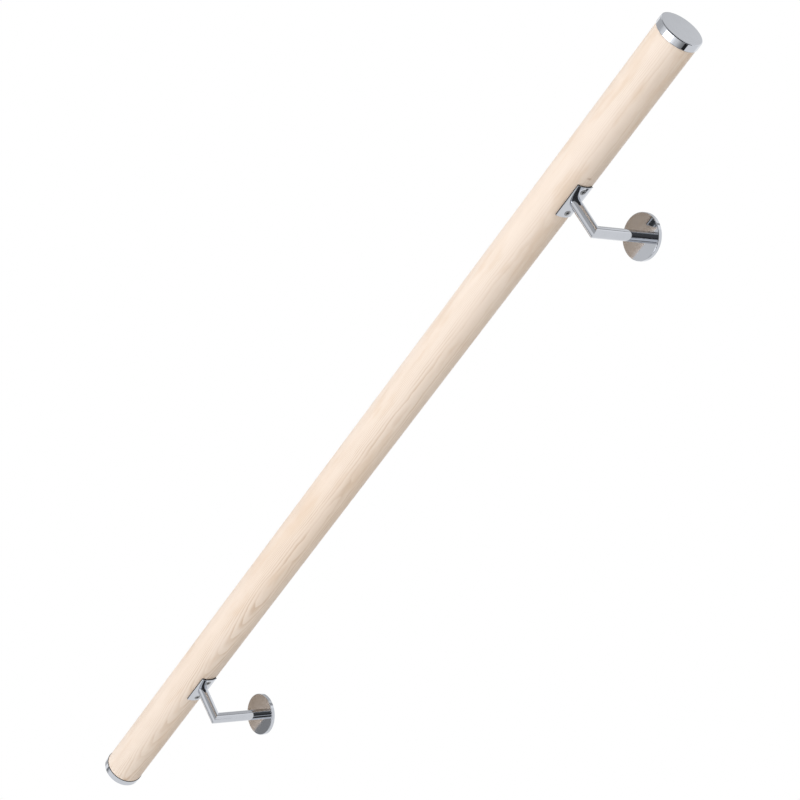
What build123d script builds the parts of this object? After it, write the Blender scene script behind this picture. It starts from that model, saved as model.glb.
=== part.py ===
"""Round wooden handrail with metal end caps, carried by two wall brackets.

Millimetres, +Z up. The origin lies on the wall, midway between the two bracket
bolts. The wall is the plane Y = 0, the room is on the -Y side, and the rail
runs along X. Each bracket is a saddle plate under the rail, a post, an arm
mitred to the post, and a rose that the arm clamps against the wall.
"""
import math
import os

from build123d import *

os.makedirs("parts", exist_ok=True)

# Rail and where it hangs
rail_diameter = 45.0
overall_length = 1200.0
bracket_inset = 200.0
wall_to_rail_axis = 68.0
arm_to_rail_axis = 63.5

# End caps: pressed cups pushed over a turned-down end of the rail
cap_step = 0.6
cap_length = 8.5
cap_skirt_wall = 1.5
cap_face_wall = 1.5
cap_edge_break = 0.8
cap_shadow_gap = 0.4
cap_glue_gap = 0.05
spigot_chamfer = 0.5

# Saddle plate, curved to the rail's underside
saddle_length = 40.0
saddle_width = 20.5
saddle_thickness = 2.0
saddle_corner_radius = 1.2
saddle_edge_break = 0.6

# Countersunk wood screws that hold the saddle
screw_spacing = 28.0
screw_diameter = 3.5
screw_head_diameter = 7.0
screw_length = 20.0
countersink_angle = 90.0
recess_span = 4.2
recess_slot = 1.1
recess_depth = 1.2

# Post and arm, cut from the same round bar
rod_diameter = 12.0

# Rose and the bolt that goes through it into the arm
rose_diameter = 48.0
rose_thickness = 4.5
rose_edge_break = 0.6
arm_seat_depth = 1.0
arm_seat_gap = 0.05
bolt_hole_diameter = 8.5
thread_core_diameter = 6.8
thread_depth = 22.0
thread_mouth_chamfer = 0.7

# Worked-out sizes
rail_radius = rail_diameter / 2
rod_radius = rod_diameter / 2
half_length = overall_length / 2
bracket_x = half_length - bracket_inset
cap_outer_radius = rail_radius + cap_step
cap_inner_radius = cap_outer_radius - cap_skirt_wall
spigot_radius = cap_inner_radius - cap_glue_gap
wood_end = half_length - cap_face_wall
shoulder_x = half_length - cap_length - cap_shadow_gap
saddle_outer_radius = rail_radius + saddle_thickness
saddle_half_angle = math.degrees(math.asin(saddle_width / 2 / saddle_outer_radius))
saddle_top = arm_to_rail_axis - saddle_outer_radius
arm_end_y = -(rose_thickness - arm_seat_depth)

# Sides of the rail, as seen from the room
sides = {"left": -1, "right": 1}

rail_section_plane = Plane(
    origin=(0, -wall_to_rail_axis, arm_to_rail_axis), x_dir=(1, 0, 0), z_dir=(0, -1, 0)
)
rail_axis = Axis(rail_section_plane.origin, rail_section_plane.x_dir)


def screw_planes(bracket_centre_x):
    """Planes on the heads of one bracket's two screws, facing down and out."""
    return [
        Plane(
            origin=(bracket_centre_x + offset, -wall_to_rail_axis, saddle_top),
            x_dir=(1, 0, 0),
            z_dir=(0, 0, -1),
        )
        for offset in (-screw_spacing / 2, screw_spacing / 2)
    ]


def mitre_plane(bracket_centre_x):
    """Plane of the 45 degree joint, facing up towards the post."""
    return Plane(
        origin=(bracket_centre_x, -wall_to_rail_axis, 0), x_dir=(1, 0, 0), z_dir=(0, -1, 1)
    )


# Rail: one turned length of wood, with a spigot for a cap at each end
with BuildPart() as rail:
    with BuildSketch(rail_section_plane):
        with BuildLine():
            Polyline(
                (-wood_end, 0),
                (-wood_end, spigot_radius),
                (-shoulder_x, spigot_radius),
                (-shoulder_x, rail_radius),
                (shoulder_x, rail_radius),
                (shoulder_x, spigot_radius),
                (wood_end, spigot_radius),
                (wood_end, 0),
                close=True,
            )
        make_face()
    revolve(axis=rail_axis)
    end_rims = rail.faces().filter_by(Axis.X).filter_by(
        lambda face: abs(face.center().X) > shoulder_x + cap_shadow_gap
    )
    chamfer(end_rims.edges(), spigot_chamfer)
    for side in sides.values():
        for head_plane in screw_planes(side * bracket_x):
            with Locations(head_plane):
                Hole(radius=screw_diameter / 2, depth=screw_length)
rail.part.label = "rail"
export_step(rail.part, "parts/rail.step")


def make_end_cap(side_name, side):
    """Thin metal cup over the rail's end, bevelled where its face meets its skirt."""
    cap_face = side * half_length
    cap_mouth = side * (half_length - cap_length)
    cap_floor = side * wood_end
    with BuildPart() as end_cap:
        with BuildSketch(rail_section_plane):
            with BuildLine():
                Polyline(
                    (cap_face, 0),
                    (cap_face, cap_outer_radius),
                    (cap_mouth, cap_outer_radius),
                    (cap_mouth, cap_inner_radius),
                    (cap_floor, cap_inner_radius),
                    (cap_floor, 0),
                    close=True,
                )
            make_face()
        revolve(axis=rail_axis)
        outer_face = end_cap.faces().sort_by(Axis.X)[-1 if side > 0 else 0]
        chamfer(outer_face.edges(), cap_edge_break)
    end_cap.part.label = f"{side_name}_end_cap"
    return end_cap.part


def make_saddle(side_name, side):
    """Plate curved to the rail's underside, with two countersunk holes."""
    centre_x = side * bracket_x
    end_plane = Plane(
        origin=(centre_x - saddle_length / 2, -wall_to_rail_axis, arm_to_rail_axis),
        x_dir=(0, 1, 0),
        z_dir=(1, 0, 0),
    )
    straight_down = -90
    arc_start = straight_down - saddle_half_angle
    arc_end = straight_down + saddle_half_angle
    with BuildPart() as saddle:
        with BuildSketch(end_plane):
            with BuildLine():
                inner = CenterArc((0, 0), rail_radius, arc_start, 2 * saddle_half_angle)
                outer = CenterArc((0, 0), saddle_outer_radius, arc_start, 2 * saddle_half_angle)
                Line(inner @ 0, outer @ 0)
                Line(inner @ 1, outer @ 1)
            make_face()
        extrude(amount=saddle_length)
        corners = saddle.edges().filter_by(GeomType.LINE).filter_by(Axis.X, reverse=True)
        fillet(corners, saddle_corner_radius)
        outer_skin = saddle.faces().filter_by(GeomType.CYLINDER).sort_by(Axis.Z)[0]
        chamfer(outer_skin.edges(), saddle_edge_break)
        for head_plane in screw_planes(centre_x):
            with Locations(head_plane):
                CounterSinkHole(
                    radius=screw_diameter / 2,
                    counter_sink_radius=screw_head_diameter / 2,
                    counter_sink_angle=countersink_angle,
                )
    saddle.part.label = f"{side_name}_saddle"
    return saddle.part


def make_saddle_screws(side_name, side):
    """Two countersunk wood screws with cross recesses, up through the saddle.

    The ends that fill the pilot holes are blunt here.
    """
    shank_radius = screw_diameter / 2
    head_radius = screw_head_diameter / 2
    head_depth = (head_radius - shank_radius) / math.tan(math.radians(countersink_angle / 2))
    with BuildPart() as saddle_screws:
        for head_plane in screw_planes(side * bracket_x):
            section_plane = Plane(
                origin=head_plane.origin, x_dir=(1, 0, 0), z_dir=(0, -1, 0)
            )
            with BuildSketch(section_plane):
                with BuildLine():
                    Polyline(
                        (0, 0),
                        (head_radius, 0),
                        (shank_radius, head_depth),
                        (shank_radius, screw_length),
                        (0, screw_length),
                        close=True,
                    )
                make_face()
            revolve(axis=Axis(section_plane.origin, (0, 0, 1)))
            with BuildSketch(head_plane):
                Rectangle(recess_span, recess_slot)
                Rectangle(recess_slot, recess_span)
            extrude(amount=-recess_depth, mode=Mode.SUBTRACT)
    saddle_screws.part.label = f"{side_name}_saddle_screws"
    return saddle_screws.part


def make_post(side_name, side):
    """Upright bar, coped at the top to the saddle and mitred at the foot."""
    centre_x = side * bracket_x
    foot_plane = Plane(origin=(centre_x, -wall_to_rail_axis, -rod_diameter))
    cope_plane = Plane(
        origin=(centre_x, -wall_to_rail_axis, arm_to_rail_axis), x_dir=(0, 1, 0), z_dir=(1, 0, 0)
    )
    with BuildPart() as post:
        with BuildSketch(foot_plane):
            Circle(rod_radius)
        extrude(amount=rod_diameter + arm_to_rail_axis)
        split(bisect_by=mitre_plane(centre_x), keep=Keep.TOP)
        with BuildSketch(cope_plane):
            Circle(saddle_outer_radius)
        extrude(amount=saddle_length, both=True, mode=Mode.SUBTRACT)
    post.part.label = f"{side_name}_post"
    return post.part


def make_arm(side_name, side):
    """Level bar from the mitre to the rose, with a blind bolt thread in its end."""
    centre_x = side * bracket_x
    wall_end_plane = Plane(
        origin=(centre_x, arm_end_y, 0), x_dir=(1, 0, 0), z_dir=(0, 1, 0)
    )
    with BuildPart() as arm:
        with BuildSketch(wall_end_plane):
            Circle(rod_radius)
        extrude(amount=-(wall_to_rail_axis + arm_end_y + rod_diameter))
        split(bisect_by=mitre_plane(centre_x), keep=Keep.BOTTOM)
        with Locations(wall_end_plane):
            CounterSinkHole(
                radius=thread_core_diameter / 2,
                counter_sink_radius=thread_core_diameter / 2 + thread_mouth_chamfer,
                depth=thread_depth,
                counter_sink_angle=countersink_angle,
            )
    arm.part.label = f"{side_name}_arm"
    return arm.part


def make_rose(side_name, side):
    """Wall disc with a shallow seat for the arm and a clear hole for the bolt."""
    wall_plane = Plane(
        origin=(side * bracket_x, 0, 0), x_dir=(1, 0, 0), z_dir=(0, -1, 0)
    )
    with BuildPart() as rose:
        with BuildSketch(wall_plane):
            Circle(rose_diameter / 2)
        extrude(amount=rose_thickness)
        room_face = rose.faces().sort_by(Axis.Y)[0]
        chamfer(room_face.edges(), rose_edge_break)
        with Locations(wall_plane.offset(rose_thickness)):
            CounterBoreHole(
                radius=bolt_hole_diameter / 2,
                counter_bore_radius=rod_radius + arm_seat_gap,
                counter_bore_depth=arm_seat_depth,
            )
    rose.part.label = f"{side_name}_rose"
    return rose.part


for side_name, side in sides.items():
    for make_piece in (
        make_end_cap,
        make_saddle,
        make_saddle_screws,
        make_post,
        make_arm,
        make_rose,
    ):
        piece = make_piece(side_name, side)
        export_step(piece, f"parts/{piece.label}.step")
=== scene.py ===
"""Round wooden handrail on two chromed wall brackets, dressed for its picture.

Metres, +Z up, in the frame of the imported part. The wall is the plane Y = 0, the
room is on the -Y side, and the rail runs along X. The origin lies on the wall,
midway between the two bracket bolts.
"""

import logging
import math
from dataclasses import dataclass
from enum import Enum
from typing import Callable, Iterable, Sequence

import bmesh
import bpy
from bmesh.types import BMesh
from mathutils import Matrix, Vector


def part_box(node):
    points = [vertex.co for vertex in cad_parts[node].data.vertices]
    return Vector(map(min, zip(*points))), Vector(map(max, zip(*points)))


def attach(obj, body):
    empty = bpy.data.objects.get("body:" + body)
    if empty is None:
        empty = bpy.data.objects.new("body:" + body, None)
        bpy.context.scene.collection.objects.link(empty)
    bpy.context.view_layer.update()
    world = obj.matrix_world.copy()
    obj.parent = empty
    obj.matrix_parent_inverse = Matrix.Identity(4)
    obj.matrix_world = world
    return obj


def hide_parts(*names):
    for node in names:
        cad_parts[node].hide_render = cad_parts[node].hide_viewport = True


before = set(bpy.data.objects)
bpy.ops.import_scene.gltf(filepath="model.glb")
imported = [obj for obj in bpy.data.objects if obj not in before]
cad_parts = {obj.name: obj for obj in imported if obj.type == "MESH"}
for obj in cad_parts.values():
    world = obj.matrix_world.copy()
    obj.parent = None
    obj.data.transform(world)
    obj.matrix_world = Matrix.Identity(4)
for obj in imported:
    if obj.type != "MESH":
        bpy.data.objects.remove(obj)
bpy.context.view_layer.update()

LOG = logging.getLogger("handrail")
MM = 0.001
MERGE_GAP = 1e-7
RIM_GAP = 1e-6
SHARP_TURN = 1.0
ALONG = Vector((1.0, 0.0, 0.0))
TO_WALL = Vector((0.0, 1.0, 0.0))
UPWARD = Vector((0.0, 0.0, 1.0))
BODY = "root"
SECOND_FINISH = 1
Colour = tuple[float, float, float]
Triple = tuple[float, float, float]


class Side(Enum):
    """End of the rail, as seen from the room."""

    LEFT = -1
    RIGHT = 1

    @property
    def word(self) -> str:
        """Side's word in the names of its pieces."""
        return self.name.lower()


class Slot(Enum):
    """Material slot of the record that a piece takes its finish from."""

    RAIL_WOOD = "rail_wood"
    BRIGHT_CHROME = "bright_chrome"
    SCREW_STEEL = "screw_steel"


@dataclass(frozen=True)
class Corner:
    """Corner of a turned piece's half section.

    Attributes:
        along: Distance along the turning axis.
        radius: Distance out from the axis.
        rounding: Radius that the corner is eased to, or 0 for a sharp one.
        segments: Facets across the easing.
    """

    along: float
    radius: float
    rounding: float = 0.0
    segments: int = 6


@dataclass(frozen=True)
class Lathe:
    """Turning axis, and how finely pieces are turned on it.

    Attributes:
        centre: Point that distances along the axis are measured from.
        axis: Unit vector along the axis.
        outward: Unit vector square to the axis, where the section is drawn.
        steps: Facets round a full turn.
    """

    centre: Vector
    axis: Vector
    outward: Vector
    steps: int

    def point(self, along: float, radius: float) -> Vector:
        """Point of the section's plane at a distance along the axis and out from it."""
        return self.centre + self.axis * along + self.outward * radius

    def turn(self, corners: Sequence[Corner]) -> BMesh:
        """Turn a half section into a closed round solid.

        Args:
            corners: Section's corners in order; one that meets the axis makes a pole.

        Returns:
            The solid, with its rounded rims eased.
        """
        solid = bmesh.new()
        points = [solid.verts.new(self.point(corner.along, corner.radius)) for corner in corners]
        for first, second in zip(points, points[1:]):
            solid.edges.new((first, second))
        if corners[0].radius > 0.0:
            solid.edges.new((points[-1], points[0]))
        bmesh.ops.spin(
            solid,
            geom=solid.verts[:] + solid.edges[:],
            cent=self.centre,
            axis=self.axis,
            dvec=(0.0, 0.0, 0.0),
            angle=math.tau,
            steps=self.steps,
            use_merge=True,
        )
        close_up(solid)
        for corner in corners:
            if corner.rounding > 0.0:
                ease_edges(solid, self.rim(solid, corner), corner.rounding, corner.segments)
        return solid

    def cylinder(self, start: float, end: float, radius: float) -> BMesh:
        """Plain round bar between two distances along the axis."""
        corners = (Corner(start, 0.0), Corner(start, radius), Corner(end, radius), Corner(end, 0.0))
        return self.turn(corners)

    def rim(self, solid: BMesh, corner: Corner) -> list[bmesh.types.BMEdge]:
        """Edges that a corner of the section made on its way round.

        Args:
            solid: Turned solid.
            corner: Corner of its section.

        Returns:
            The edges of that rim.
        """
        def on_rim(vert: bmesh.types.BMVert) -> bool:
            """Whether a corner of the mesh came from this corner of the section."""
            offset = vert.co - self.centre
            along = offset.dot(self.axis)
            radius = (offset - self.axis * along).length
            return abs(along - corner.along) < RIM_GAP and abs(radius - corner.radius) < RIM_GAP

        return [edge for edge in solid.edges if all(on_rim(vert) for vert in edge.verts)]


def close_up(solid: BMesh) -> None:
    """Merge doubled corners, then point every face outwards."""
    bmesh.ops.remove_doubles(solid, verts=solid.verts[:], dist=MERGE_GAP)
    bmesh.ops.recalc_face_normals(solid, faces=solid.faces[:])


def ease_edges(
    solid: BMesh, edges: Sequence[bmesh.types.BMEdge], width: float, segments: int
) -> None:
    """Round some edges of a solid over.

    Args:
        solid: Solid whose edges are rounded.
        edges: Edges to round.
        width: How far the rounding reaches from each edge.
        segments: Facets across the rounding.
    """
    bmesh.ops.bevel(
        solid,
        geom=list(edges),
        offset=width,
        offset_type="OFFSET",
        segments=segments,
        profile=0.5,
        affect="EDGES",
        clamp_overlap=True,
        material=-1,
    )


def cut_off(solid: BMesh, point: Vector, normal: Vector) -> None:
    """Saw a solid through a plane, keep what lies behind it and close the cut.

    Args:
        solid: Solid to saw.
        point: Point on the plane.
        normal: Direction of the waste.
    """
    everything = solid.verts[:] + solid.edges[:] + solid.faces[:]
    cut = bmesh.ops.bisect_plane(
        solid, geom=everything, dist=MERGE_GAP, plane_co=point, plane_no=normal, clear_outer=True
    )
    rim = [item for item in cut["geom_cut"] if isinstance(item, bmesh.types.BMEdge)]
    bmesh.ops.holes_fill(solid, edges=rim, sides=0)
    close_up(solid)


def temporary_object(shape: BMesh) -> bpy.types.Object:
    """Object that holds a shape while a modifier works on it; the shape is freed."""
    mesh = bpy.data.meshes.new("work_in_hand")
    shape.to_mesh(mesh)
    shape.free()
    holder = bpy.data.objects.new("work_in_hand", mesh)
    bpy.context.scene.collection.objects.link(holder)
    return holder


def modified_mesh(holder: bpy.types.Object) -> bpy.types.Mesh:
    """Mesh of an object with its modifiers worked in."""
    bpy.context.view_layer.update()
    settled = holder.evaluated_get(bpy.context.evaluated_depsgraph_get())
    return bpy.data.meshes.new_from_object(settled)


def carve(body: BMesh, cutters: Iterable[BMesh]) -> BMesh:
    """Cut shapes out of a body.

    Args:
        body: Closed solid; it is used up.
        cutters: Closed solids to take away; they are used up.

    Returns:
        The body with the cutters' shapes taken out.
    """
    holder = temporary_object(body)
    tools = [temporary_object(cutter) for cutter in cutters]
    for tool in tools:
        cut = holder.modifiers.new("cut", "BOOLEAN")
        cut.operation = "DIFFERENCE"
        cut.solver = "EXACT"
        cut.object = tool
    carved = bmesh.new()
    carved.from_mesh(modified_mesh(holder))
    for used in (holder, *tools):
        bpy.data.objects.remove(used)
    close_up(carved)
    return carved


def finished_mesh(shape: BMesh, name: str, crease: float) -> bpy.types.Mesh:
    """Smooth mesh whose flats stay flat and whose sharp edges stay sharp.

    Args:
        shape: Closed solid; it is used up.
        name: Name of the mesh.
        crease: Angle in radians past which an edge stays sharp.

    Returns:
        The mesh, with normals weighted by the size of its faces.
    """
    for face in shape.faces:
        face.smooth = True
    for edge in shape.edges:
        edge.smooth = edge.calc_face_angle(0.0) < crease
    holder = temporary_object(shape)
    weighting = holder.modifiers.new("weighting", "WEIGHTED_NORMAL")
    weighting.mode = "FACE_AREA"
    weighting.weight = 100
    weighting.keep_sharp = True
    mesh = modified_mesh(holder)
    mesh.name = name
    bpy.data.objects.remove(holder)
    return mesh


def show_piece(
    shape: BMesh, node: str, materials: Sequence[bpy.types.Material]
) -> bpy.types.Object:
    """Put a finished piece in the scene in place of its CAD node.

    Args:
        shape: Closed solid in its place; it is used up.
        node: CAD node that the piece stands for.
        materials: Finishes, in the order of the faces' material numbers.

    Returns:
        The piece.
    """
    crease = math.radians(32.0)
    piece = bpy.data.objects.new(f"{node}_shown", finished_mesh(shape, node, crease))
    bpy.context.scene.collection.objects.link(piece)
    for material in materials:
        piece.data.materials.append(material)
    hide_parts(node)
    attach(piece, BODY)
    drift = max(
        abs(end(vert.co[axis] for vert in piece.data.vertices) - limit[axis])
        for end, limit in zip((min, max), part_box(node))
        for axis in range(3)
    )
    faces = len(piece.data.polygons)
    LOG.info("%s: %d faces, %.2f mm from its node's box", piece.name, faces, drift / MM)
    return piece


class NodeSheet:
    """Node tree of one material or world, with short ways to add and join nodes."""

    def __init__(self, tree: bpy.types.NodeTree) -> None:
        """Clear a tree and start on it."""
        self.tree = tree
        tree.nodes.clear()

    def add(
        self, kind: str, inputs: dict[str | int, object] | None = None, **settings: object
    ) -> bpy.types.Node:
        """Add a node.

        Args:
            kind: Blender's name for the node.
            inputs: Values or outputs of other nodes, by socket.
            settings: Properties of the node.

        Returns:
            The node.
        """
        node = self.tree.nodes.new(kind)
        for name, value in settings.items():
            setattr(node, name, value)
        for socket, value in (inputs or {}).items():
            if isinstance(value, bpy.types.NodeSocket):
                self.tree.links.new(value, node.inputs[socket])
            else:
                node.inputs[socket].default_value = value
        return node

    def math(self, operation: str, *values: object) -> bpy.types.NodeSocket:
        """Result of a sum on numbers or outputs."""
        return self.add("ShaderNodeMath", dict(enumerate(values)), operation=operation).outputs[0]

    def noise(
        self, vector: bpy.types.NodeSocket, scale: float, detail: float, roughness: float = 0.5
    ) -> bpy.types.NodeSocket:
        """Output between 0 and 1 of a cloudy pattern.

        Args:
            vector: Coordinates.
            scale: Clouds per metre of the coordinates.
            detail: Octaves.
            roughness: Strength of the finer octaves.

        Returns:
            The pattern's factor.
        """
        inputs = {"Vector": vector, "Scale": scale, "Detail": detail, "Roughness": roughness}
        return self.add("ShaderNodeTexNoise", inputs).outputs["Fac"]

    def stretched(
        self, vector: bpy.types.NodeSocket, scale: Triple, location: Triple = (0.0, 0.0, 0.0)
    ) -> bpy.types.NodeSocket:
        """Coordinates scaled by different amounts along the three axes."""
        inputs = {"Vector": vector, "Scale": scale, "Location": location}
        return self.add("ShaderNodeMapping", inputs).outputs[0]

    def between(
        self, value: bpy.types.NodeSocket, low: float, high: float, to_low: float, to_high: float
    ) -> bpy.types.NodeSocket:
        """Value carried smoothly from one range to another, and held at its ends."""
        inputs = {"Value": value, "From Min": low, "From Max": high, "To Min": to_low, "To Max": to_high}
        kind = "ShaderNodeMapRange"
        return self.add(kind, inputs, interpolation_type="SMOOTHSTEP").outputs[0]

    def mix(self, share: object, first: object, second: object) -> bpy.types.NodeSocket:
        """Mix of two colours by a share."""
        mixer = self.add("ShaderNodeMix", data_type="RGBA")
        factor, colour_a, colour_b = (mixer.inputs[index] for index in (0, 6, 7))
        for socket, value in ((factor, share), (colour_a, first), (colour_b, second)):
            if isinstance(value, bpy.types.NodeSocket):
                self.tree.links.new(value, socket)
            elif isinstance(value, tuple):
                socket.default_value = (*value, 1.0)
            else:
                socket.default_value = value
        return mixer.outputs[2]

    def surface(self, inputs: dict[str | int, object]) -> None:
        """Give the material one shader with these inputs."""
        shader = self.add("ShaderNodeBsdfPrincipled", inputs)
        self.add("ShaderNodeOutputMaterial", {"Surface": shader.outputs[0]})


def new_material(name: str) -> tuple[bpy.types.Material, NodeSheet]:
    """Empty node material and the sheet that it is drawn on."""
    material = bpy.data.materials.new(name)
    material.use_nodes = True
    return material, NodeSheet(material.node_tree)


@dataclass(frozen=True)
class WhitewashedMaple:
    """Pale, whitewashed timber under a thin satin lacquer.

    Growth rings are cylinders about a pith line outside the turned rail. They
    taper, fast at the rail's left end and hardly at all past its arches, so the
    surface cuts them in pointed arches there and in long straight lines elsewhere.

    Attributes:
        early_wood: Colour between the rings' lines.
        late_wood: Colour of the rings' lines.
        pale_patch: Colour of the paler clouds.
        warm_patch: Colour of the browner streaks.
        pith: Point on the pith line, above the rail and on its wall side.
        ring_gap: Mean distance between two rings.
        last_ring: Distance from the pith of the ring that only just meets the rail.
        taper_start: Where along the rail the fast taper ends.
        fast_taper: Rise of a ring over a length of the rail, before that.
        slow_taper: The same, after that.
        quiet_stretch: Part of the rail over which the rings' lines fade.
        quiet_share: Strength that the lines keep past it.
        drift: Reach of the rings' slow wander.
        waver: Reach of their quick wander.
        fleck_colour: Colour of the one small mineral fleck.
        fleck_place: Middle of the fleck.
        fleck_size: Half lengths of the fleck along the three axes.
    """

    early_wood: Colour = (0.876, 0.743, 0.627)
    late_wood: Colour = (0.690, 0.530, 0.395)
    pale_patch: Colour = (0.895, 0.778, 0.675)
    warm_patch: Colour = (0.790, 0.625, 0.480)
    fleck_colour: Colour = (0.420, 0.270, 0.165)
    fleck_place: Triple = (429.5 * MM, -70.5 * MM, 41.1 * MM)
    fleck_size: Triple = (1.5 * MM, 3.4 * MM, 3.4 * MM)
    pith: Triple = (0.0, -31.0 * MM, 137.8 * MM)
    ring_gap: float = 0.95 * MM
    last_ring: float = 105.55 * MM
    taper_start: float = -226.0 * MM
    fast_taper: float = 0.026
    slow_taper: float = 0.0005
    quiet_stretch: tuple[float, float] = (60.0 * MM, 330.0 * MM)
    quiet_share: float = 0.45
    drift: float = 2.2 * MM
    waver: float = 0.9 * MM

    def material(self) -> bpy.types.Material:
        """Build the finish."""
        material, sheet = new_material("whitewashed_maple")
        place = sheet.add("ShaderNodeTexCoord").outputs["Object"]
        rings = self.rings(sheet, place)
        broad = sheet.noise(sheet.stretched(place, (14.0, 120.0, 120.0)), 1.0, 3.0, 0.55)
        fibre_long = sheet.noise(sheet.stretched(place, (9.0, 420.0, 420.0)), 1.0, 4.0, 0.6)
        fibre_fine = sheet.noise(sheet.stretched(place, (60.0, 1900.0, 1900.0)), 1.0, 3.0, 0.6)
        clouds = sheet.noise(sheet.stretched(place, (2.5, 14.0, 14.0)), 1.0, 2.0)
        pale = sheet.between(clouds, 0.38, 0.64, 0.0, 1.0)
        colour = sheet.mix(pale, self.early_wood, self.pale_patch)
        strength = sheet.between(broad, 0.35, 0.70, 0.22, 0.85)
        along = sheet.add("ShaderNodeSeparateXYZ", {"Vector": place}).outputs["X"]
        quieter = sheet.between(along, *self.quiet_stretch, 1.0, self.quiet_share)
        strength = sheet.math("MULTIPLY", strength, quieter)
        colour = sheet.mix(sheet.math("MULTIPLY", rings, strength), colour, self.late_wood)
        colour = sheet.mix(sheet.between(fibre_long, 0.50, 0.80, 0.0, 0.14), colour, self.late_wood)
        colour = sheet.mix(sheet.between(fibre_fine, 0.56, 0.80, 0.0, 0.16), colour, self.late_wood)
        streaky = sheet.stretched(place, (11.0, 60.0, 60.0), (3.0, 1.0, 2.0))
        streaks = sheet.noise(streaky, 1.0, 4.0, 0.60)
        colour = sheet.mix(sheet.between(streaks, 0.50, 0.72, 0.0, 0.65), colour, self.warm_patch)
        colour = sheet.mix(self.fleck(sheet, place, fibre_long), colour, self.fleck_colour)
        height = sheet.math("ADD", sheet.math("MULTIPLY", rings, 0.4), fibre_fine)
        bump = sheet.add("ShaderNodeBump", {"Height": height, "Strength": 0.12, "Distance": 0.00010})
        roughness = sheet.between(fibre_long, 0.3, 0.7, 0.40, 0.50)
        sheet.surface(
            {
                "Base Color": colour,
                "Roughness": roughness,
                "Normal": bump.outputs[0],
                "Specular IOR Level": 0.35,
                "Coat Weight": 0.10,
                "Coat Roughness": 0.32,
            }
        )
        return material

    def fleck(
        self, sheet: NodeSheet, place: bpy.types.NodeSocket, fibre: bpy.types.NodeSocket
    ) -> bpy.types.NodeSocket:
        """Share of the fleck's colour at a place.

        Args:
            sheet: Sheet of the material.
            place: Object coordinates.
            fibre: Pattern of the fibres, which frays the fleck.

        Returns:
            Output between 0, off the fleck, and its full strength.
        """
        frame_inputs = {"Vector": place, "Location": self.fleck_place, "Scale": self.fleck_size}
        local = sheet.add("ShaderNodeMapping", frame_inputs, vector_type="TEXTURE").outputs[0]
        distance = sheet.add("ShaderNodeVectorMath", {0: local}, operation="LENGTH").outputs["Value"]
        frayed = sheet.math("ADD", distance, sheet.math("MULTIPLY", fibre, 0.8))
        return sheet.between(frayed, 0.4, 1.7, 0.55, 0.0)

    def rings(self, sheet: NodeSheet, place: bpy.types.NodeSocket) -> bpy.types.NodeSocket:
        """Growth rings.

        Args:
            sheet: Sheet of the material.
            place: Object coordinates.

        Returns:
            Output between 0, early wood, and 1, the dark line that closes a ring.
        """
        centred = {"Vector": place, "Location": self.pith}
        from_pith = sheet.add("ShaderNodeMapping", centred, vector_type="TEXTURE").outputs[0]
        parts = sheet.add("ShaderNodeSeparateXYZ", {"Vector": from_pith}).outputs
        across = sheet.add("ShaderNodeCombineXYZ", {"Y": parts["Y"], "Z": parts["Z"]}).outputs[0]
        distance = sheet.add("ShaderNodeVectorMath", {0: across}, operation="LENGTH").outputs["Value"]
        past = sheet.math("SUBTRACT", parts["X"], self.taper_start)
        fast = sheet.math("MULTIPLY", sheet.math("MINIMUM", past, 0.0), self.fast_taper)
        slow = sheet.math("MULTIPLY", sheet.math("MAXIMUM", past, 0.0), self.slow_taper)
        tapered = sheet.math("ADD", distance, sheet.math("ADD", fast, slow))
        drift = sheet.noise(sheet.stretched(place, (6.0, 18.0, 18.0)), 1.0, 2.0, 0.5)
        waver = sheet.noise(sheet.stretched(place, (32.0, 70.0, 70.0), (5.0, 2.0, 7.0)), 1.0, 2.0, 0.5)
        slow_wander = sheet.math("MULTIPLY", drift, self.drift)
        quick_wander = sheet.math("MULTIPLY", waver, self.waver)
        unsteady = sheet.math("ADD", slow_wander, quick_wander)
        wander = sheet.math("SUBTRACT", unsteady, (self.drift + self.waver) / 2)
        from_last = sheet.math("SUBTRACT", sheet.math("ADD", tapered, wander), self.last_ring)
        phase = sheet.math("FRACT", sheet.math("DIVIDE", from_last, self.ring_gap))
        rise = sheet.between(phase, 0.30, 0.90, 0.0, 1.0)
        fall = sheet.between(phase, 0.90, 1.0, 1.0, 0.0)
        return sheet.math("MULTIPLY", rise, fall)


@dataclass(frozen=True)
class BrightChrome:
    """Polished chrome plate with the faint ripple and haze of a buffed part."""

    tint: Colour = (0.645, 0.668, 0.715)
    polish: float = 0.045
    haze: float = 0.085

    def material(self) -> bpy.types.Material:
        """Build the finish."""
        material, sheet = new_material("bright_chrome")
        place = sheet.add("ShaderNodeTexCoord").outputs["Object"]
        smears = sheet.noise(place, 70.0, 4.0, 0.6)
        roughness = sheet.between(smears, 0.40, 0.75, self.polish, self.haze)
        ripple = sheet.noise(place, 260.0, 2.0)
        bump = sheet.add("ShaderNodeBump", {"Height": ripple, "Strength": 0.10, "Distance": 0.00003})
        cooler = tuple(0.94 * part for part in self.tint)
        colour = sheet.mix(sheet.between(smears, 0.35, 0.80, 0.0, 0.6), self.tint, cooler)
        look = {"Base Color": colour, "Metallic": 1.0, "Roughness": roughness, "Normal": bump.outputs[0]}
        sheet.surface(look)
        return material


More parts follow.
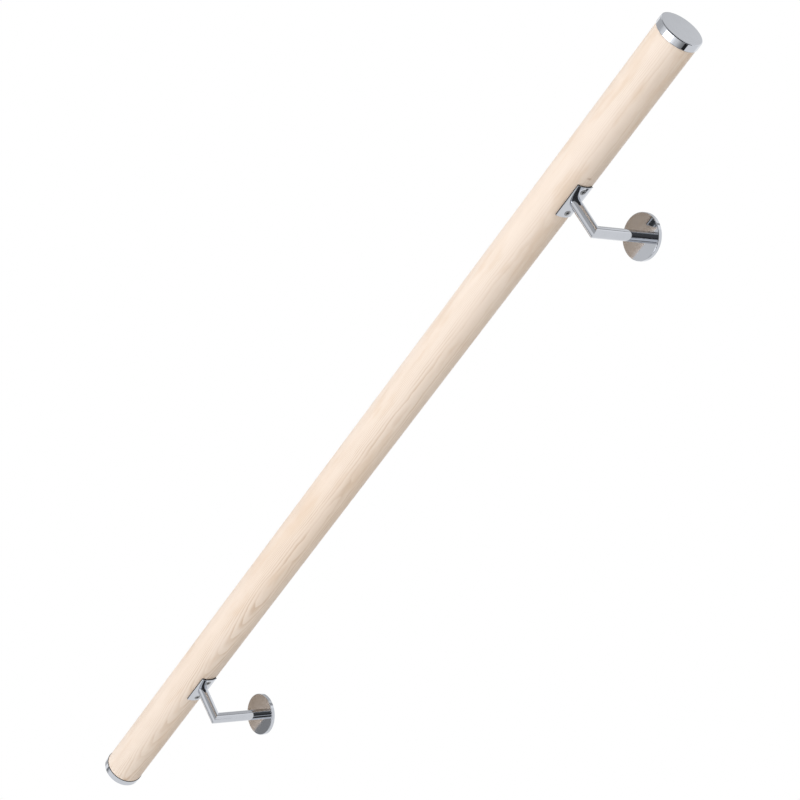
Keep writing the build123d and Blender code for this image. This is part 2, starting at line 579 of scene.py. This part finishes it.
@dataclass(frozen=True)
class BareSteel:
    """Unpolished steel, lightly grained, of a screw; made near black, it is also painted shade in
    recesses, crevices and gaps.

    Attributes:
        lightness: Share of its own colour that the metal shows.
        shine: Roughness where it is brightest.
        dullness: Roughness where it is dullest.
    """

    lightness: float = 1.0
    shine: float = 0.16
    dullness: float = 0.30
    tint: Colour = (0.56, 0.57, 0.59)
    dull_tint: Colour = (0.44, 0.445, 0.455)

    def material(self, name: str) -> bpy.types.Material:
        """Build the finish under a name."""
        material, sheet = new_material(name)
        place = sheet.add("ShaderNodeTexCoord").outputs["Object"]
        grain = sheet.noise(place, 1400.0, 3.0, 0.6)
        bright = tuple(self.lightness * part for part in self.tint)
        dull = tuple(self.lightness * part for part in self.dull_tint)
        colour = sheet.mix(sheet.between(grain, 0.35, 0.75, 0.0, 1.0), bright, dull)
        roughness = sheet.between(grain, 0.30, 0.75, self.shine, self.dullness)
        bump = sheet.add("ShaderNodeBump", {"Height": grain, "Strength": 0.15, "Distance": 0.00003})
        look = {"Base Color": colour, "Metallic": 1.0, "Roughness": roughness, "Normal": bump.outputs[0]}
        sheet.surface(look)
        return material


@dataclass(frozen=True)
class Layout:
    """Sizes that the rail, its caps and its brackets share."""

    rail_radius: float = 22.5 * MM
    half_length: float = 600.0 * MM
    bracket_inset: float = 200.0 * MM
    wall_to_axis: float = 68.0 * MM
    arm_to_axis: float = 63.5 * MM

    @property
    def rail_centre(self) -> Vector:
        """Middle of the rail, on its axis."""
        return Vector((0.0, -self.wall_to_axis, self.arm_to_axis))

    def bracket_x(self, side: Side) -> float:
        """Where a bracket stands along the rail."""
        return side.value * (self.half_length - self.bracket_inset)

    def rail_lathe(self, steps: int) -> Lathe:
        """Lathe on the rail's axis."""
        return Lathe(self.rail_centre, ALONG, UPWARD, steps)


@dataclass
class TimberRail:
    """Turned wooden rail, with a spigot for a cap at each end."""

    layout: Layout
    spigot_radius: float = 21.55 * MM
    spigot_end: float = 598.5 * MM
    shoulder: float = 591.1 * MM
    spigot_bevel: float = 0.5 * MM
    shoulder_bevel: float = 0.12 * MM
    hole_radius: float = 1.75 * MM
    hole_depth: float = 20.0 * MM
    bays: int = 24
    steps: int = 144
    hole_steps: int = 32

    def build(self, finish: WhitewashedMaple, hole_places: Sequence[Vector]) -> bpy.types.Object:
        """Turn the rail and drill it for the saddles' screws.

        Args:
            finish: Timber's finish.
            hole_places: Middles of the screw heads.

        Returns:
            The rail.
        """
        rail = self.layout.rail_lathe(self.steps).turn(self.section())
        drills = [self.drill(place) for place in hole_places]
        return show_piece(carve(rail, drills), "rail", [finish.material()])

    def section(self) -> list[Corner]:
        """Corners of the rail's half section, from its left end to its right one."""
        radius = self.layout.rail_radius
        left_end = [
            Corner(-self.spigot_end, 0.0),
            Corner(-self.spigot_end, self.spigot_radius, self.spigot_bevel, 3),
            Corner(-self.shoulder, self.spigot_radius),
            Corner(-self.shoulder, radius, self.shoulder_bevel, 2),
        ]
        bay = 2 * self.shoulder / self.bays
        rings = [Corner(-self.shoulder + bay * index, radius) for index in range(1, self.bays)]
        right_end = [
            Corner(-corner.along, corner.radius, corner.rounding, corner.segments)
            for corner in reversed(left_end)
        ]
        return left_end + rings + right_end

    def drill(self, place: Vector) -> BMesh:
        """Cutter for the hole of one screw, from its head upwards."""
        lathe = Lathe(place, UPWARD, ALONG, self.hole_steps)
        return lathe.cylinder(0.0, self.hole_depth, self.hole_radius)


@dataclass
class EndCap:
    """Pressed metal cup over the rail's end."""

    layout: Layout
    step: float = 0.6 * MM
    length: float = 8.5 * MM
    wall: float = 1.5 * MM
    face_rounding: float = 1.1 * MM
    mouth_rounding: float = 0.2 * MM
    mouth_lean: float = -0.5
    steps: int = 192

    def build(
        self, side: Side, chrome: bpy.types.Material, edge_shade: bpy.types.Material
    ) -> bpy.types.Object:
        """Turn the cap of one end, with its mouth rim painted near black as the shade of the gap at the
        rail's shoulder.

        Args:
            side: End of the rail.
            chrome: Finish of the cap.
            edge_shade: Near-black finish of the skirt's rim, painted shade of that gap.

        Returns:
            The cap.
        """
        outer = self.layout.rail_radius + self.step
        inner = outer - self.wall
        face = side.value * self.layout.half_length
        mouth = side.value * (self.layout.half_length - self.length)
        floor = side.value * (self.layout.half_length - self.wall)
        corners = [
            Corner(face, 0.0),
            Corner(face, outer, self.face_rounding, 8),
            Corner(mouth, outer, self.mouth_rounding, 3),
            Corner(mouth, inner),
            Corner(floor, inner),
            Corner(floor, 0.0),
        ]
        cup = self.layout.rail_lathe(self.steps).turn(corners)
        # The mouth rim's faces that look away from the cap's end get the near-black second finish:
        # painted shade of the gap at the rail's shoulder.
        for piece_face in cup.faces:
            at_mouth = abs(piece_face.calc_center_median().x - mouth) < self.mouth_rounding
            if at_mouth and piece_face.normal.x * side.value < self.mouth_lean:
                piece_face.material_index = SECOND_FINISH
        return show_piece(cup, f"{side.word}_end_cap", [chrome, edge_shade])


@dataclass(frozen=True)
class BracketFinishes:
    """Finishes of a bracket's pieces.

    Attributes:
        chrome: Finish of the plated pieces.
        edge_shade: Near-black finish of the saddle plate's edges, painted shade of the crevice along the
            rail.
        screw_steel: Finish of the screws.
        recess_shade: Near-black finish in the recesses of their heads, painted shade of the recesses.
    """

    chrome: bpy.types.Material
    edge_shade: bpy.types.Material
    screw_steel: bpy.types.Material
    recess_shade: bpy.types.Material


@dataclass
class WallBracket:
    """Saddle plate, two screws, mitred post and arm, and rose of one wall bracket."""

    layout: Layout
    side: Side
    saddle_length: float = 40.0 * MM
    saddle_width: float = 20.5 * MM
    saddle_thickness: float = 2.0 * MM
    saddle_corner: float = 1.2 * MM
    saddle_break: float = 0.6 * MM
    saddle_steps: int = 48
    inner_lean: float = -0.5
    shade_lean: float = 0.60
    screw_spacing: float = 28.0 * MM
    screw_radius: float = 1.75 * MM
    head_radius: float = 3.5 * MM
    head_depth: float = 1.75 * MM
    head_rounding: float = 0.12 * MM
    screw_steps: int = 64
    screw_length: float = 20.0 * MM
    point_length: float = 4.0 * MM
    recess_span: float = 4.2 * MM
    recess_slot: float = 1.1 * MM
    recess_depth: float = 1.6 * MM
    recess_taper: Triple = (0.45, 0.7, 1.0)
    recess_mouth: float = 0.5 * MM
    recess_margin: float = 0.05 * MM
    recess_facing: float = 0.2 * MM
    rod_radius: float = 6.0 * MM
    rod_steps: int = 96
    rose_radius: float = 24.0 * MM
    rose_thickness: float = 4.5 * MM
    rose_rounding: float = 0.6 * MM
    rose_steps: int = 192
    seat_depth: float = 1.0 * MM
    seat_gap: float = 0.05 * MM
    bolt_hole_radius: float = 4.25 * MM
    thread_radius: float = 3.4 * MM
    thread_depth: float = 22.0 * MM
    thread_chamfer: float = 0.7 * MM
    overrun: float = 12.0 * MM
    cutter_margin: float = 1.0 * MM
    cope_steps: int = 384

    @property
    def centre_x(self) -> float:
        """Where the bracket stands along the rail."""
        return self.layout.bracket_x(self.side)

    @property
    def elbow(self) -> Vector:
        """Point where the axes of post and arm meet."""
        return Vector((self.centre_x, -self.layout.wall_to_axis, 0.0))

    @property
    def saddle_outer(self) -> float:
        """Radius of the saddle's outer skin."""
        return self.layout.rail_radius + self.saddle_thickness

    @property
    def head_places(self) -> list[Vector]:
        """Middles of the two screw heads."""
        underside = self.layout.arm_to_axis - self.saddle_outer
        return [
            Vector((self.centre_x + offset, -self.layout.wall_to_axis, underside))
            for offset in (-self.screw_spacing / 2, self.screw_spacing / 2)
        ]

    def build(self, finishes: BracketFinishes) -> None:
        """Make every piece of the bracket in its finish."""
        plate_finishes = [finishes.chrome, finishes.edge_shade]
        screw_finishes = [finishes.screw_steel, finishes.recess_shade]
        show_piece(self.saddle(), f"{self.side.word}_saddle", plate_finishes)
        show_piece(self.screws(), f"{self.side.word}_saddle_screws", screw_finishes)
        bars: dict[str, Callable[[], BMesh]] = {"post": self.post, "arm": self.arm, "rose": self.rose}
        for word, maker in bars.items():
            show_piece(maker(), f"{self.side.word}_{word}", [finishes.chrome])

    def saddle(self) -> BMesh:
        """Plate curved to the rail's underside, countersunk for its screws."""
        half_angle = math.asin(self.saddle_width / 2 / self.saddle_outer)
        radii = (self.layout.rail_radius, self.saddle_outer)
        start = self.layout.rail_centre + ALONG * (self.centre_x - self.saddle_length / 2)
        turn = Matrix.Rotation(-half_angle, 3, ALONG)
        outward = turn @ -UPWARD
        plate = bmesh.new()
        across = [plate.verts.new(start + outward * radius) for radius in radii]
        edge = plate.edges.new(across)
        swept = bmesh.ops.extrude_edge_only(plate, edges=[edge])["geom"]
        moved = [item for item in swept if isinstance(item, bmesh.types.BMVert)]
        bmesh.ops.translate(plate, verts=moved, vec=ALONG * self.saddle_length)
        bmesh.ops.spin(
            plate,
            geom=plate.verts[:] + plate.edges[:] + plate.faces[:],
            cent=start,
            axis=ALONG,
            dvec=(0.0, 0.0, 0.0),
            angle=2 * half_angle,
            steps=self.saddle_steps,
        )
        close_up(plate)
        ease_edges(plate, self.saddle_corners(plate), self.saddle_corner, 8)
        ease_edges(plate, self.saddle_outline(plate), self.saddle_break, 6)
        drilled = carve(plate, [self.countersink(place) for place in self.head_places])
        # The plate's edges get a near-black finish: painted shade of the crevice along the rail.
        self.paint_edge_shade(drilled)
        return drilled

    def paint_edge_shade(self, plate: BMesh) -> None:
        """Paint the plate's edges, and most of their rounding, near black with the second finish, as
        shade of the crevice along the rail.
        """
        for face in plate.faces:
            outward = face.calc_center_median() - self.layout.rail_centre
            outward.x = 0.0
            lean = face.normal.dot(outward.normalized())
            if self.inner_lean < lean < self.shade_lean:
                face.material_index = SECOND_FINISH

    def saddle_corners(self, plate: BMesh) -> list[bmesh.types.BMEdge]:
        """Four short edges at the plate's corners."""
        reach = self.saddle_length / 2 - MERGE_GAP
        along = (edge for edge in plate.edges if abs(edge.calc_face_angle(0.0)) > SHARP_TURN)
        return [
            edge
            for edge in along
            if all(abs(vert.co.x - self.centre_x) > reach for vert in edge.verts)
            and edge.calc_length() > 0.9 * self.saddle_thickness
        ]

    def saddle_outline(self, plate: BMesh) -> list[bmesh.types.BMEdge]:
        """Edges round the plate's outer skin."""
        limit = self.saddle_outer - 0.01 * MM

        def outside(vert: bmesh.types.BMVert) -> bool:
            """Whether a corner of the mesh lies on the outer skin."""
            offset = vert.co - self.layout.rail_centre
            return math.hypot(offset.y, offset.z) > limit

        return [
            edge
            for edge in plate.edges
            if edge.calc_face_angle(0.0) > SHARP_TURN and all(outside(vert) for vert in edge.verts)
        ]

    def countersink(self, place: Vector) -> BMesh:
        """Cutter for one countersunk hole."""
        below = -self.cutter_margin
        above = self.saddle_thickness + self.cutter_margin
        corners = [
            Corner(below, 0.0),
            Corner(below, self.head_radius - below),
            Corner(self.head_depth, self.screw_radius),
            Corner(above, self.screw_radius),
            Corner(above, 0.0),
        ]
        return Lathe(place, UPWARD, ALONG, self.screw_steps).turn(corners)

    def screws(self) -> BMesh:
        """Both screws of the saddle."""
        both = bmesh.new()
        for place in self.head_places:
            mesh = bpy.data.meshes.new("screw")
            one = self.screw(place)
            one.to_mesh(mesh)
            one.free()
            both.from_mesh(mesh)
            bpy.data.meshes.remove(mesh)
        return both

    def screw(self, place: Vector) -> BMesh:
        """Countersunk wood screw with a cross recess in its head, painted near black inside as its
        shade.
        """
        corners = [
            Corner(0.0, 0.0),
            Corner(0.0, self.head_radius, self.head_rounding, 3),
            Corner(self.head_depth, self.screw_radius),
            Corner(self.screw_length - self.point_length, self.screw_radius),
            Corner(self.screw_length, 0.0),
        ]
        body = Lathe(place, UPWARD, ALONG, self.screw_steps).turn(corners)
        carved = carve(body, [self.recess(place, quarter) for quarter in (0.0, math.pi / 2)])
        # Faces inside the cross recess get a near-black finish: painted shade of the recess.
        for face in carved.faces:
            offset = face.calc_center_median() - place
            depth = offset.z
            offset.z = 0.0
            near = offset.length < self.recess_span / 2
            inside = near and offset.dot(face.normal) < self.recess_facing
            if inside and self.recess_margin < depth < self.recess_depth + self.recess_margin:
                face.material_index = SECOND_FINISH
        return carved

    def recess(self, place: Vector, quarter: float) -> BMesh:
        """Cutter for one bar of a head's cross recess.

        Args:
            place: Middle of the head.
            quarter: Turn of the bar about the screw, in radians.

        Returns:
            A bar whose ends slope in towards its floor.
        """
        bar = bmesh.new()
        mouth = self.recess_mouth
        bmesh.ops.create_cube(bar, size=1.0)
        size = Vector((self.recess_span, self.recess_slot, self.recess_depth + mouth))
        bmesh.ops.scale(bar, vec=size, verts=bar.verts[:])
        floor = [vert for vert in bar.verts if vert.co.z > 0.0]
        bmesh.ops.scale(bar, vec=self.recess_taper, verts=floor)
        bmesh.ops.translate(bar, vec=(0.0, 0.0, (self.recess_depth - mouth) / 2), verts=bar.verts[:])
        turned = Matrix.Rotation(quarter, 3, "Z")
        bmesh.ops.rotate(bar, cent=(0.0, 0.0, 0.0), matrix=turned, verts=bar.verts[:])
        bmesh.ops.translate(bar, vec=place, verts=bar.verts[:])
        return bar

    def post(self) -> BMesh:
        """Upright bar, coped at the top to the saddle and mitred at the foot."""
        lathe = Lathe(self.elbow, UPWARD, ALONG, self.rod_steps)
        bar = lathe.cylinder(-self.overrun, self.layout.arm_to_axis, self.rod_radius)
        cut_off(bar, self.elbow, TO_WALL - UPWARD)
        reach = self.rod_radius + self.cutter_margin
        rail_lathe = self.layout.rail_lathe(self.cope_steps)
        ends = (self.centre_x - reach, self.centre_x + reach)
        return carve(bar, [rail_lathe.cylinder(*ends, self.saddle_outer)])

    def arm(self) -> BMesh:
        """Level bar from the mitre to the rose, with a blind thread for its bolt."""
        end = self.layout.wall_to_axis - (self.rose_thickness - self.seat_depth)
        corners = [
            Corner(-self.overrun, 0.0),
            Corner(-self.overrun, self.rod_radius),
            Corner(end, self.rod_radius),
            Corner(end, self.thread_radius + self.thread_chamfer),
            Corner(end - self.thread_chamfer, self.thread_radius),
            Corner(end - self.thread_depth, self.thread_radius),
            Corner(end - self.thread_depth, 0.0),
        ]
        bar = Lathe(self.elbow, TO_WALL, ALONG, self.rod_steps).turn(corners)
        cut_off(bar, self.elbow, UPWARD - TO_WALL)
        return bar

    def rose(self) -> BMesh:
        """Wall disc with a shallow seat for the arm and a clear hole for the bolt."""
        face = self.rose_thickness
        seat = face - self.seat_depth
        seat_radius = self.rod_radius + self.seat_gap
        corners = [
            Corner(0.0, self.bolt_hole_radius),
            Corner(0.0, self.rose_radius),
            Corner(face, self.rose_radius, self.rose_rounding, 6),
            Corner(face, seat_radius),
            Corner(seat, seat_radius),
            Corner(seat, self.bolt_hole_radius),
        ]
        wall_point = Vector((self.centre_x, 0.0, 0.0))
        return Lathe(wall_point, -TO_WALL, ALONG, self.rose_steps).turn(corners)


@dataclass(frozen=True)
class Board:
    """Level or upright board of the studio that only shows in polished surfaces.

    Attributes:
        name: Name of the board.
        low: Lowest corner; it shares one coordinate with the highest one.
        high: Highest corner.
        shade: Brightness, where 1 is white.
        far_shade: Brightness at the board's high side, or None for an even board.
        ramp: Axis that the brightness changes along.
    """

    name: str
    low: Triple
    high: Triple
    shade: float
    far_shade: float | None = None
    ramp: str = "Z"

    def shape(self) -> BMesh:
        """Flat sheet between the board's corners."""
        low = Vector(self.low)
        span = Vector(self.high) - low
        flat = min(range(3), key=lambda axis: abs(span[axis]))
        sheet = bmesh.new()
        bmesh.ops.create_grid(sheet, x_segments=1, y_segments=1, size=0.5)
        turns = {0: Matrix.Rotation(math.pi / 2, 3, "Y"), 1: Matrix.Rotation(math.pi / 2, 3, "X")}
        turn = turns.get(flat, Matrix.Identity(3))
        bmesh.ops.rotate(sheet, cent=(0.0, 0.0, 0.0), matrix=turn, verts=sheet.verts[:])
        bmesh.ops.scale(sheet, vec=span, verts=sheet.verts[:])
        bmesh.ops.translate(sheet, vec=low + span / 2, verts=sheet.verts[:])
        return sheet

    def material(self) -> bpy.types.Material:
        """Evenly lit board, or one whose light falls off across it."""
        material, sheet = new_material(self.name)
        glow = sheet.add("ShaderNodeEmission", {"Strength": self.shade})
        if self.far_shade is not None:
            place = sheet.add("ShaderNodeTexCoord").outputs["Object"]
            along = sheet.add("ShaderNodeSeparateXYZ", {"Vector": place}).outputs[self.ramp]
            axis = "XYZ".index(self.ramp)
            ends = (self.low[axis], self.high[axis], self.shade, self.far_shade)
            sheet.tree.links.new(sheet.between(along, *ends), glow.inputs["Strength"])
        sheet.add("ShaderNodeOutputMaterial", {"Surface": glow.outputs[0]})
        return material


@dataclass(frozen=True)
class Softbox:
    """Soft rectangular lamp that faces the rail's middle.

    Attributes:
        name: Name of the lamp.
        place: Middle of its face.
        width: Level size.
        height: Upright size.
        power: Watts.
        shows: Whether polished surfaces show it.
    """

    name: str
    place: Triple
    width: float
    height: float
    power: float
    shows: bool


@dataclass(frozen=True)
class Studio:
    """Pale floor, white surroundings, soft lamps, boards and the camera."""

    floor_height: float = -1.75
    floor_size: float = 40.0
    floor_colour: Colour = (0.93, 0.93, 0.93)
    floor_gleam: float = 0.86
    ambient: float = 0.69
    ambient_tint: Colour = (1.0, 0.985, 0.955)
    wall_glow: Colour = (0.45, 0.33, 0.19)
    softboxes: tuple[Softbox, ...] = (
        Softbox("room_softbox", (-0.38, -2.30, -0.24), 0.75, 1.95, 8.5, True),
        Softbox("room_fill", (0.35, -2.40, 0.30), 2.4, 2.2, 26.0, False),
    )
    lamp_colour: Colour = (0.985, 1.0, 1.05)
    boards: tuple[Board, ...] = (
        Board("room_flag", (-1.40, -2.40, -1.70), (-0.78, -2.40, 0.75), 0.14),
        Board("room_veil", (-0.80, -2.18, -1.20), (-0.50, -2.18, 0.75), 0.70),
        Board("room_board", (-2.45, -2.60, -1.70), (-1.40, -2.60, 1.00), 0.58),
        Board("left_room_board", (-3.00, -2.60, -1.70), (-2.45, -2.60, 1.00), 0.42),
        Board("far_room_board", (-4.50, -2.60, -1.70), (-3.00, -2.60, 1.00), 0.88),
        Board("far_middle_board", (-4.50, -2.60, 1.00), (-2.45, -2.60, 1.70), 0.60),
        Board("far_upper_board", (-4.50, -2.60, 1.70), (-2.45, -2.60, 3.60), 0.27),
        Board("left_upper_board", (-2.45, -2.60, 1.00), (-1.10, -2.60, 3.60), 0.70),
        Board("upper_board", (-1.10, -2.60, 0.78), (0.70, -2.60, 3.60), 0.95, 0.50),
        Board("camera_board", (0.05, -2.50, -1.70), (3.40, -2.50, 0.78), 0.09),
        Board("camera_upper_board", (0.70, -2.60, 0.78), (3.40, -2.60, 3.60), 0.48),
        Board("near_side_board", (3.40, -2.60, 0.60), (3.40, 0.60, 3.60), 0.46, 0.17, "Y"),
        Board("far_side_board", (3.40, 0.60, 0.60), (3.40, 2.40, 3.60), 0.17, 0.45, "Y"),
        Board("near_corner_board", (2.45, 2.40, 0.60), (3.40, 2.40, 3.60), 0.40),
        Board("wall_side_board", (-0.50, 2.40, 1.30), (2.45, 2.40, 2.60), 0.96, 0.57),
        Board("wall_top_board", (-0.50, 2.40, 2.60), (2.45, 2.40, 3.60), 0.57),
        Board("wall_board", (-1.60, 2.40, 1.30), (-0.50, 2.40, 3.60), 0.45),
        Board("camera_floor_board", (0.75, -2.50, -1.70), (3.40, 1.30, -1.70), 0.05),
        Board("near_floor_board", (0.40, -0.35, -1.70), (0.75, 1.30, -1.70), 0.05),
        Board("overhead_board", (-4.50, -2.60, 3.60), (3.40, 0.60, 3.60), 0.56),
        Board("camera_end_board", (3.40, -2.60, -1.70), (3.40, 0.20, 0.60), 0.05),
        Board("middle_floor_board", (-1.40, -1.75, -1.70), (0.75, -0.35, -1.70), 0.06),
        Board("left_floor_board", (-1.60, -2.60, -1.70), (-0.80, -2.20, -1.70), 0.25),
        Board("under_board", (-0.02, -0.05, -1.14), (0.26, 0.35, -1.14), 0.02),
        Board("under_ramp_board", (-0.34, -1.90, -1.14), (0.35, -1.05, -1.14), 1.30, 0.82, "Y"),
        Board("under_strip_board", (-0.08, -1.05, -1.14), (0.17, -0.05, -1.14), 0.82, 0.25, "Y"),
    )
    camera_place: Triple = (1374.87 * MM, -1551.25 * MM, -1108.62 * MM)
    camera_right: Triple = (0.497564, 0.761642, -0.415128)
    camera_up: Triple = (0.659212, -0.020959, 0.751665)
    lens: float = 98.48
    sensor: float = 36.0

    def build(self) -> None:
        """Set the floor, lights, boards and camera."""
        self.lay_floor()
        self.fill_world()
        for softbox in self.softboxes:
            self.hang(softbox)
        for board in self.boards:
            thing = self.add_stage(board.shape(), board.name, board.material())
            thing.visible_camera = False
            thing.visible_diffuse = False
            thing.visible_shadow = False
        self.place_camera()

    def lay_floor(self) -> None:
        """Plain pale floor, well below the rail as under a real one."""
        material, sheet = new_material("studio_floor")
        path = sheet.add("ShaderNodeLightPath").outputs
        mirrored = sheet.math("MAXIMUM", path["Is Glossy Ray"], path["Is Transmission Ray"])
        paint = {"Base Color": (*self.floor_colour, 1.0), "Roughness": 0.9, "Specular IOR Level": 0.1}
        painted = sheet.add("ShaderNodeBsdfPrincipled", paint).outputs[0]
        gleam = sheet.add("ShaderNodeEmission", {"Strength": self.floor_gleam}).outputs[0]
        floor = sheet.add("ShaderNodeMixShader", {0: mirrored, 1: painted, 2: gleam}).outputs[0]
        sheet.add("ShaderNodeOutputMaterial", {"Surface": floor})
        spread = bmesh.new()
        bmesh.ops.create_grid(spread, x_segments=1, y_segments=1, size=self.floor_size / 2)
        bmesh.ops.translate(spread, vec=(0.0, 0.0, self.floor_height), verts=spread.verts[:])
        self.add_stage(spread, "studio_floor", material)

    def add_stage(self, shape: BMesh, name: str, material: bpy.types.Material) -> bpy.types.Object:
        """Put a thing of the studio in the scene; its shape is used up."""
        mesh = bpy.data.meshes.new(name)
        shape.to_mesh(mesh)
        shape.free()
        thing = bpy.data.objects.new(name, mesh)
        thing.data.materials.append(material)
        bpy.context.scene.collection.objects.link(thing)
        return thing

    def fill_world(self) -> None:
        """White surroundings for the eye and the metal, and a plain even light for the rest."""
        world = bpy.data.worlds.new("studio_surroundings")
        world.use_nodes = True
        bpy.context.scene.world = world
        sheet = NodeSheet(world.node_tree)
        path = sheet.add("ShaderNodeLightPath").outputs
        seen = sheet.math("MAXIMUM", path["Is Camera Ray"], path["Is Glossy Ray"])
        seen = sheet.math("MAXIMUM", seen, path["Is Transmission Ray"])
        white = (1.0, 1.0, 1.0, 1.0)
        way = sheet.add("ShaderNodeTexCoord").outputs["Generated"]
        to_wall = sheet.add("ShaderNodeSeparateXYZ", {"Vector": way}).outputs["Y"]
        glow = sheet.mix(sheet.between(to_wall, 0.0, 0.7, 0.0, 1.0), self.ambient_tint, self.wall_glow)
        light = sheet.add("ShaderNodeBackground", {"Color": glow, "Strength": self.ambient})
        ground = sheet.add("ShaderNodeBackground", {"Color": white, "Strength": 1.0})
        mixed = sheet.add("ShaderNodeMixShader", {0: seen, 1: light.outputs[0], 2: ground.outputs[0]})
        sheet.add("ShaderNodeOutputWorld", {"Surface": mixed.outputs[0]})

    def hang(self, softbox: Softbox) -> None:
        """Hang one lamp and turn it to the rail's middle."""
        lamp = bpy.data.lights.new(softbox.name, "AREA")
        lamp.shape = "RECTANGLE"
        lamp.size = softbox.width
        lamp.size_y = softbox.height
        lamp.energy = softbox.power
        lamp.color = self.lamp_colour
        holder = bpy.data.objects.new(softbox.name, lamp)
        bpy.context.scene.collection.objects.link(holder)
        place = Vector(softbox.place)
        away = place - Layout().rail_centre
        turned = away.to_track_quat("Z", "Y").to_matrix().to_4x4()
        holder.matrix_world = Matrix.Translation(place) @ turned
        holder.visible_camera = False
        holder.visible_glossy = softbox.shows

    def place_camera(self) -> None:
        """Camera at the photograph's place, turned and rolled as it was."""
        lens = bpy.data.cameras.new("photo_camera")
        lens.lens = self.lens
        lens.sensor_width = self.sensor
        lens.clip_end = 100.0
        holder = bpy.data.objects.new("photo_camera", lens)
        bpy.context.scene.collection.objects.link(holder)
        right = Vector(self.camera_right)
        up = Vector(self.camera_up)
        turned = Matrix((right, up, right.cross(up))).transposed().to_4x4()
        holder.matrix_world = Matrix.Translation(Vector(self.camera_place)) @ turned
        bpy.context.scene.camera = holder


def main() -> None:
    """Build the handrail, piece by piece, then the studio round it."""
    logging.basicConfig(level=logging.INFO, format="%(name)s %(message)s")
    layout = Layout()
    chrome = BrightChrome().material()
    screw_steel = BareSteel(0.58, 0.18, 0.32).material("screw_steel")
    # Near-black steel painted in the screws' recesses as their shade.
    recess_shade = BareSteel(0.10, 0.40, 0.55).material("recess_shade")
    # Near-black steel painted on the saddles' edges and the caps' mouth rims, as the shade of the
    # crevices and gaps there.
    edge_shade = BareSteel(0.05, 0.35, 0.50).material("edge_shade")
    finishes = BracketFinishes(chrome, edge_shade, screw_steel, recess_shade)
    brackets = [WallBracket(layout, side) for side in Side]
    hole_places = [place for bracket in brackets for place in bracket.head_places]
    TimberRail(layout).build(WhitewashedMaple(), hole_places)
    for side in Side:
        EndCap(layout).build(side, chrome, edge_shade)
    for bracket in brackets:
        bracket.build(finishes)
    Studio().build()
    bpy.context.scene.view_settings.view_transform = "Standard"


if __name__ == "__main__":
    main()
